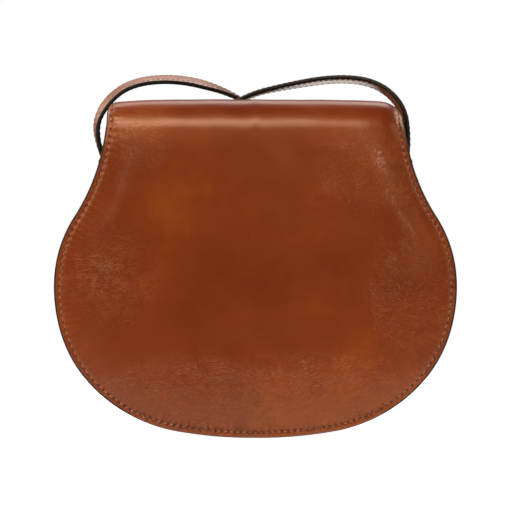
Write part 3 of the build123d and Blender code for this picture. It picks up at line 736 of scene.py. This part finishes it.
def hide(name, line, spine_low, place, thick, materials, paint):
    """A thick piece of leather in a saddle outline.

    line is its right half, from the bottom's middle to the top. place gives its surface, and paint how
    far in from the edge the paint comes. Returns the piece, its seam, the seam's outward directions and
    the number of stitches.
    """
    count = int(round(run_along(line)[-1] / line_step)) + 1
    full, full_out = both_sides(line, count)
    sewn = full - full_out * stitch_inset
    along = run_along(sewn)
    stitches = round(along[-1] / stitch_pitch)
    phase = along / along[-1] * stitches
    fraction = np.abs(np.arange(len(full)) - (count - 1)) / (count - 1)
    spine = np.stack([0 * fraction, spine_low + (line[-1, 1] - spine_low) * fraction], axis=1)
    start = full - full_out * near_edge[-1]
    across = np.linspace(0, 1, 23)[1:]
    across = 0.8 * across + 0.2 * across**2
    reach = np.linalg.norm(spine - start, axis=1)
    places = [full - full_out * inset for inset in near_edge] + [start + (spine - start) * q for q in across]
    distances = [np.full(len(full), inset) for inset in near_edge]
    distances += [near_edge[-1] + reach * q for q in across]
    x = np.stack([p[:, 0] for p in places], axis=1)
    v = np.stack([p[:, 1] for p in places], axis=1)
    x[:, -1] = 0
    distance = np.stack(distances, axis=1)
    points, _ = place(x, v, distance, phase[:, None])
    rows, columns = x.shape
    vertices = points.reshape(-1, 3)
    faces, index = [], []
    for i in range(rows - 1):
        for j in range(columns - 1):
            k = i * columns + j
            faces.append((k, k + 1, k + columns + 1, k + columns))
            low = near_edge[j + 1] if j + 1 < len(near_edge) else 1
            index.append(1 if low <= paint(full[i]) else 0)
    made = new_object(name, vertices, faces, materials, index)
    working = bmesh.new()
    working.from_mesh(made.data)
    bmesh.ops.remove_doubles(working, verts=working.verts, dist=1e-7)
    bmesh.ops.recalc_face_normals(working, faces=working.faces)
    wanted = place(x[:1, -2:-1], v[:1, -2:-1], distance[:1, -2:-1], phase[:1, None])[1][0, 0]
    nearest = min(working.verts, key=lambda vertex: (vertex.co - Vector(points[0, -2])).length)
    working.normal_update()
    if nearest.normal.dot(Vector(wanted)) < 0:
        bmesh.ops.reverse_faces(working, faces=working.faces)
    working.to_mesh(made.data)
    working.free()
    solid = made.modifiers.new("thickness", "SOLIDIFY")
    solid.thickness, solid.offset, solid.material_offset_rim = thick, -1, 1
    finished = bpy.data.meshes.new_from_object(made.evaluated_get(bpy.context.evaluated_depsgraph_get()))
    made.modifiers.clear()
    made.data = finished
    made.data.name = name
    seam, seam_up = place(sewn[:, 0:1], sewn[:, 1:2], np.full((rows, 1), stitch_inset), phase[:, None])
    return made, seam[:, 0], seam_up[:, 0], stitches


def seam_stitches(name, seam, seam_up, stitches, thread_material, hole_shade_material):
    """Thread and slanted needle holes along a seam, the holes drawn as dark marks of painted shade half way
    between the stitches.
    """
    steps = run_along(seam)
    pitch = steps[-1] / stitches

    def cut(first):
        at = np.linspace(first * pitch, steps[-1] - (1 - first) * pitch, 4 * stitches)
        line = np.stack([np.interp(at, steps, seam[:, k]) for k in range(3)], axis=1)
        up = unit(np.stack([np.interp(at, steps, seam_up[:, k]) for k in range(3)], axis=1))
        return line, up

    thread_line, thread_up = cut(0.5)
    hole_line, hole_up = cut(0.999)
    thread = sew(name + "_thread", [(thread_line + thread_up * 0.00006, thread_up)], pitch * 0.9999,
                 (0.0021, 0.00062, 0.00050), radians(-12), thread_material)
    # The needle holes are near-black slanted marks: painted shade where each hole sinks into the leather.
    hole_shades = sew(name + "_holes", [(hole_line + hole_up * 0.00002, hole_up)], pitch * 0.9999,
                (0.00210, 0.00100, 0.00036), radians(48), hole_shade_material)
    return joined(name, [thread, hole_shades])


# Each spot of creases: its middle, how quickly it fades along X, Y and Z, its turn and its strength.
hide_creases = [
    ((-0.080, -0.034, 0.084), (26, 12, 26), 8, 0.55),
    ((0.088, -0.034, 0.072), (26, 12, 20), -12, 0.5),
    ((0.034, -0.034, 0.012), (12, 12, 27), 34, 1.9),
    ((-0.036, -0.034, 0.012), (12, 12, 28), -14, 1.8),
    ((0.062, -0.034, 0.138), (26, 12, 30), 60, 0.5),
    ((-0.066, -0.034, 0.150), (34, 12, 40), -60, 0.45),
]
hide_leather = leather("hide_leather", cognac_dark, cognac, cognac_light, hide_creases)
hide_thread = plain_finish("hide_thread", (0.17, 0.045, 0.012), (0.27, 0.080, 0.026), (0.45, 0.6),
                           2500, 0.0001)
# Near-black painted shade for the needle holes along every seam.
needle_hole_shade = plain_finish("needle_hole_shade", (0.009, 0.003, 0.001), (0.016, 0.005, 0.002), (0.7, 0.8),
                           2500, 0.00005)


def hide_surface(x, v, distance, phase, seed, bulge, pucker, depth=0.0, sewn=True):
    """Points and outward directions of the hide at x and a run over the top."""
    y, z, ny, nz = over_the_top(v)
    on_crown = smooth_between(v, 0.150, 0.172) * (1 - smooth_between(v, fold_run - 0.010, fold_run + 0.014))
    corner = np.where(x < 0, 0.0050, 0.0125)
    inside = np.clip(corner - distance, 0, corner)
    droop = (corner - np.sqrt(corner**2 - inside**2 * 0.88)) * on_crown
    sag = 0.0012 * np.abs(x / neck_half) ** 3 * on_crown
    rise = bulge * pillow(distance) * (1 - 0.85 * on_crown)
    uneven = 0.00035 * waves(x, v, 22, seed) + 0.00014 * waves(x, v, 75, seed + 9)
    uneven = uneven * smooth_between(distance, 0.0, 0.012)
    low_gathers = pucker * (1 + 2.4 * (1 - smooth_between(v, 0.010, 0.040)))
    edge = edge_relief(distance, phase, low_gathers) if sewn else 0.0
    offset = rise - droop - sag + uneven + edge - depth
    points = np.stack([x + 0 * y, y + ny * offset, z + nz * offset], axis=-1)
    return points, np.stack([0 * y, ny, nz], axis=-1)


def back_surface(x, v, distance, phase):
    return hide_surface(x, v, distance, phase, 3.1, 0.0034, 0.00042)


def back_paint(point):
    return 0.0009 if point[1] > 0.012 else 0.0004


back_hide, back_seam, back_up, back_stitches = hide(
    "back_leather", outline_line(crown_middle), 0.046, back_surface, 0.0018, [hide_leather, edge_paint],
    back_paint)
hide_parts("back_panel")
back_sewing = seam_stitches("back_stitches", back_seam, back_up, back_stitches, hide_thread, needle_hole_shade)
for piece in (back_hide, back_sewing):
    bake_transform(piece)


# ---- Crown, flap and their lining
# The same hide goes on over the crown's front roll and hangs down as the flap. A suede lining,
# a little smaller, is glued under both and turned in short of the painted edge.
flap_low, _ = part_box("flap_front")
lift = flap_low.z - 0.001


def flap_outline(inset):
    """Half outline of crown and flap, from the flap's lowest point to the crown's middle, as x and run."""
    side = outline_line(hinge_height + 0.010, inset)
    lower = outline_line(0.120, inset) + (0, lift)
    side_x = np.interp(lower[:, 1], side[:, 1], side[:, 0])
    inside = lower[:, 0] <= side_x
    inside[:int(np.argmax(lower[:, 0] > 0.060))] = True
    last = int(np.argmin(inside)) if not inside.all() else len(lower)
    lower = lower[:last]
    side = side[side[:, 1] > lower[-1, 1]]
    line = np.concatenate([lower, side])
    steps = run_along(line)
    even = np.arange(0, steps[-1], line_step / 4)
    line = np.stack([np.interp(even, steps, line[:, k]) for k in (0, 1)], axis=1)
    corner = steps[len(lower)]
    ease = np.exp(-((even - corner) / 0.012) ** 2)[:, None]
    spread_out = 40
    width = np.ones(2 * spread_out + 1) / (2 * spread_out + 1)
    soft = line
    for _ in range(4):
        padded = np.pad(soft, ((spread_out, spread_out), (0, 0)), mode="edge")
        soft = np.stack([np.convolve(padded[:, k], width, mode="valid") for k in (0, 1)], axis=1)
    line = line * (1 - ease) + soft * ease
    run = fold_run + (fold_z - line[:, 1]) / slant
    return np.stack([line[:, 0], run], axis=1)


def crown_and_flap_line(inset, first):
    """The flap's outline, then straight over the crown back to a run along the hide."""
    flap = flap_outline(inset)
    above = np.arange(flap[-1, 1], first, -line_step / 4)[1:]
    over = np.stack([np.full(len(above), flap[-1, 0]), above], axis=1)
    return np.concatenate([flap, over, [(flap[-1, 0], first)]])


def flipped(line):
    """A line with its run turned over, so that the flap's lowest point is its least."""
    return np.stack([line[:, 0], -line[:, 1]], axis=1)


def flap_surface(x, v, distance, phase):
    return hide_surface(x, -v, distance, phase, 7.7, 0.0016, 0.00006)


def lining_surface(x, v, distance, phase):
    return hide_surface(x, -v, distance + 0.0022, phase, 7.7, 0.0016, 0.0, flap_leather + 0.0001, sewn=False)


flap_line = flipped(crown_and_flap_line(0.0004, crown_middle))
flap_hide, flap_seam, flap_up, flap_stitches = hide(
    "flap_leather", flap_line, flap_line[0, 1] + 0.046, flap_surface, flap_leather,
    [hide_leather, edge_paint], lambda point: 0.0009)
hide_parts("flap_crown", "flap_front")
flap_sewing = seam_stitches("flap_stitches", flap_seam, flap_up, flap_stitches, hide_thread, needle_hole_shade)
suede = plain_finish("suede", (0.36, 0.22, 0.12), (0.47, 0.30, 0.17), (0.85, 0.95), 900, 0.00025)
lining_line = flipped(crown_and_flap_line(0.0024, hinge_height + 0.0006))
flap_suede, *_ = hide("flap_suede", lining_line, lining_line[0, 1] + 0.046, lining_surface, lining_thick,
                      [suede, suede], lambda point: 0)
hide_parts("crown_lining", "flap_lining")
for piece in (flap_hide, flap_sewing, flap_suede):
    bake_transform(piece)


# ---- Front panel
# The front is cut to the same saddle outline, up to the mouth, and leans back a little.
mouth_height = front_high.z


def front_surface(x, v, distance, phase):
    y = front_foot - v * front_slope
    offset = 0.0004 * pillow(distance, 0.020) + edge_relief(distance, phase, 0.00006)
    offset = offset + 0.00012 * waves(x, v, 60, 4.4) * smooth_between(distance, 0, 0.01)
    points = np.stack([x, y + offset * cos(front_lean), v + offset * sin(front_lean)], axis=-1)
    return points, np.stack([0 * x, cos(front_lean) + 0 * x, sin(front_lean) + 0 * x], axis=-1)


front_hide, front_seam, front_up, front_stitches = hide(
    "front_leather", outline_line(mouth_height), 0.046, front_surface, 0.0018, [hide_leather, edge_paint],
    back_paint)
front_sewing = seam_stitches("front_stitches", front_seam, front_up, front_stitches, hide_thread, needle_hole_shade)
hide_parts("front_panel")
for piece in (front_hide, front_sewing):
    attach(piece, "bag")


# ---- Gusset
# One strip of the same hide goes from mouth to mouth round the bottom. Its long edges are folded
# outwards into lips, which are sewn to the back and front panels and painted with them.
lip, gusset_leather, panel = 0.0044, 0.0016, 0.0020
_, gusset_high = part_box("gusset")


def gusset_section(height):
    """Closed section as rows of inset and y, from the back lip's edge round the outside and back inside."""
    back_face, front_face = back_y + panel, front_foot - height * front_slope - panel
    fold, skin = 0.0016, gusset_leather
    back_fold = [(lip - fold + fold * sin(a), back_face + skin + fold - fold * cos(a))
                 for a in np.linspace(0, pi / 2, 6)]
    front_fold = [(i, front_face + back_face - y) for i, y in reversed(back_fold)]
    wall = [(lip + 0.0005 * sin(pi * q), back_fold[-1][1] + (front_fold[0][1] - back_fold[-1][1]) * q)
            for q in np.linspace(0, 1, 12)[1:-1]]
    outside = [(0.0001, back_face), (0.0001, back_face + skin)] + back_fold + wall
    outside += front_fold + [(0.0001, front_face - skin), (0.0001, front_face)]
    inside = [(lip + skin, front_face), (lip + skin, back_face)]
    return outside + inside


def folded_gusset():
    full, full_out = both_sides(outline_line(gusset_high.z), 190)
    vertices, faces, index = [], [], []
    corners = len(gusset_section(0.1))
    for point, way in zip(full, full_out):
        for k, (inset, y) in enumerate(gusset_section(point[1])):
            wrinkle = 0.0
            if 8 <= k < corners - 10:
                wrinkle = 0.00022 * noise.noise((point[0] * 40, y * 60, point[1] * 40))
            place = point - way * (inset + wrinkle)
            vertices.append((place[0], y, place[1]))
    for i in range(len(full) - 1):
        for k in range(corners):
            near, after = i * corners, (k + 1) % corners
            faces.append((near + k, near + after, near + corners + after, near + corners + k))
            index.append(1 if k in (0, corners - 4) else 0)
    faces += [tuple(range(corners)), tuple(range(len(vertices) - 1, len(vertices) - corners - 1, -1))]
    index += [1, 1]
    made = new_object("gusset_leather", vertices, faces, [hide_leather, edge_paint], index)
    outward_normals(made)
    return made


gusset_piece = folded_gusset()
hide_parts("gusset")
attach(gusset_piece, "bag")


# ---- Linings, boards and pocket
# Suede is glued over thin boards inside the back, front and gusset. The slip pocket hangs on the
# back lining, and a strip of hide binds the raw mouth of the front.
board = plain_finish("board", (0.30, 0.24, 0.17), (0.36, 0.29, 0.21), (0.8, 0.9), 300, 0.0001)


def dress(material, *nodes):
    """Gives CAD pieces their finish."""
    for node in nodes:
        shown = frame["nodes"][node]
        shown.data.materials.clear()
        shown.data.materials.append(material)


dress(suede, "back_lining", "front_lining", "gusset_lining")
dress(board, "back_board", "gusset_board")
dress(hide_leather, "mouth_binding")


def rounded_rectangle(half_width, half_height, corner, steps=6):
    """Corners of a rectangle with round corners, counter-clockwise."""
    points = []
    for x, y, first in ((1, 1, 0), (-1, 1, 90), (-1, -1, 180), (1, -1, 270)):
        for k in range(steps + 1):
            a = radians(first + 90 * k / steps)
            across, up = x * (half_width - corner), y * (half_height - corner)
            points.append((across + corner * cos(a), up + corner * sin(a)))
    return points


def pocket_bag():
    """A flat suede pocket with a soft open mouth, its sides and foot sewn to the back lining."""
    low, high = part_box("slip_pocket")
    columns, rows, skin = 49, 33, 0.001
    vertices, faces = [], []
    for layer in (0, 1):
        for i in range(rows):
            for j in range(columns):
                a, b = j / (columns - 1), i / (rows - 1)
                edge = min(a * (columns - 1), (1 - a) * (columns - 1), b * (rows - 1)) / 4
                swell = 1 - (1 - min(edge, 1)) ** 2
                wave = 0.0005 * sin(7 * a + 1) * b
                y = low.y + 0.0003 + (high.y - low.y - 0.0006 - skin) * swell + wave * swell + layer * skin
                x = low.x + (high.x - low.x) * a
                vertices.append((x, min(y, high.y), low.z + (high.z - low.z) * b))
    size = columns * rows
    for layer in (0, 1):
        for i in range(rows - 1):
            for j in range(columns - 1):
                k = layer * size + i * columns + j
                faces.append((k, k + 1, k + columns + 1, k + columns))
    rim = [(0, j) for j in range(columns)] + [(i, columns - 1) for i in range(1, rows)]
    rim += [(rows - 1, j) for j in range(columns - 2, -1, -1)] + [(i, 0) for i in range(rows - 2, 0, -1)]
    for (i, j), (m, n) in zip(rim, rim[1:] + rim[:1]):
        a, b = i * columns + j, m * columns + n
        faces.append((a, b, b + size, a + size))
    made = new_object("pocket_suede", vertices, faces, [suede])
    outward_normals(made)
    seam_y = low.y + 0.0022
    inset = 0.003
    turn = [(low.x + inset, seam_y, high.z - inset), (low.x + inset, seam_y, low.z + inset),
            (high.x - inset, seam_y, low.z + inset), (high.x - inset, seam_y, high.z - inset)]
    line = even_steps(np.array(turn), 0.001)
    thread = sew("pocket_thread", [(line, np.tile((0, 1.0, 0), (len(line), 1)))], 0.0032,
                 (0.0022, 0.0005, 0.0005), 0.0, hide_thread)
    return made, thread


for piece in pocket_bag():
    if piece.name == "pocket_suede":
        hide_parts("slip_pocket")
    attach(piece, "bag")


# ---- Rings, rivets, buckle and magnet
# The rings, buckle, prong and rivets are brushed, lightly tarnished brass. The magnetic fastener
# is nickel-plated steel.
def metal(name, low, high, rough):
    material, shader, add, feed = new_material(name)
    place = add("ShaderNodeTexCoord").outputs["Object"]
    cloud = add("ShaderNodeTexNoise", {"Vector": place, "Scale": 120, "Detail": 5})
    long_way = add("ShaderNodeMapping", {"Vector": place, "Scale": (900, 120, 900)})
    scratches = add("ShaderNodeTexNoise", {"Vector": long_way.outputs[0], "Scale": 4, "Detail": 3})
    feed("Base Color", ramp(add, cloud.outputs["Fac"], [(0.35, low), (0.62, high)]))
    feed("Roughness", spread(add, scratches.outputs["Fac"], 0.3, 0.7, *rough))
    tooth = add("ShaderNodeBump", {"Height": scratches.outputs["Fac"], "Strength": 0.18, "Distance": 0.00004})
    feed("Normal", tooth.outputs["Normal"])
    shader.inputs["Metallic"].default_value = 1.0
    return material


brass = metal("brass", (0.50, 0.33, 0.13), (0.78, 0.56, 0.26), (0.16, 0.30))
nickel = metal("nickel", (0.50, 0.49, 0.47), (0.68, 0.67, 0.64), (0.18, 0.32))
dress(brass, "strap_ring_left", "strap_ring_right", "buckle_frame", "buckle_prong", "tab_rivets")
dress(nickel, "magnet_socket", "socket_washer", "magnet_plug", "plug_washer")


# ---- Ring tabs and keepers
# Each ring hangs in a folded strip of strap leather, riveted to the gusset. The keepers are narrow
# bands of the same leather round the strap.
dress(strap_leather, "ring_tab_left", "ring_tab_right")


def keeper_band(node):
    low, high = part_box(node)
    skin, crown = 0.0012, 0.00035
    middle_x = (low.x + high.x) / 2
    half_y, half_z = (high.y - low.y) / 2, (high.z - low.z) / 2
    centre_y, centre_z = (high.y + low.y) / 2, (high.z + low.z) / 2
    inner = rounded_rectangle(half_y - skin, half_z - skin, 0.0005)
    half = (high.x - low.x) / 2
    profile = [(-half, crown), (-half * 0.96, crown * 0.5), (-half * 0.84, 0.0), (half * 0.84, 0.0),
               (half * 0.96, crown * 0.5), (half, crown)]
    vertices, faces, index = [], [], []
    count = len(inner)
    for along, less in profile:
        for y, z in rounded_rectangle(half_y - less, half_z - less, 0.0017):
            vertices.append((middle_x + along, centre_y + y, centre_z + z))
    for along in (half, -half):
        vertices += [(middle_x + along, centre_y + y, centre_z + z) for y, z in inner]
    rings = len(profile) + 2
    for r in range(rings):
        for k in range(count):
            a, b = r * count + k, r * count + (k + 1) % count
            c, d = ((r + 1) % rings) * count + (k + 1) % count, ((r + 1) % rings) * count + k
            faces.append((a, b, c, d))
            index.append(1 if r in (len(profile) - 1, rings - 1) else 0)
    made = new_object(node + "_band", vertices, faces, [strap_leather, edge_paint], index)
    outward_normals(made)
    return made


for node, body in (("fixed_keeper", "bag"), ("loose_keeper", "keeper")):
    band = keeper_band(node)
    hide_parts(node)
    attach(band, body)
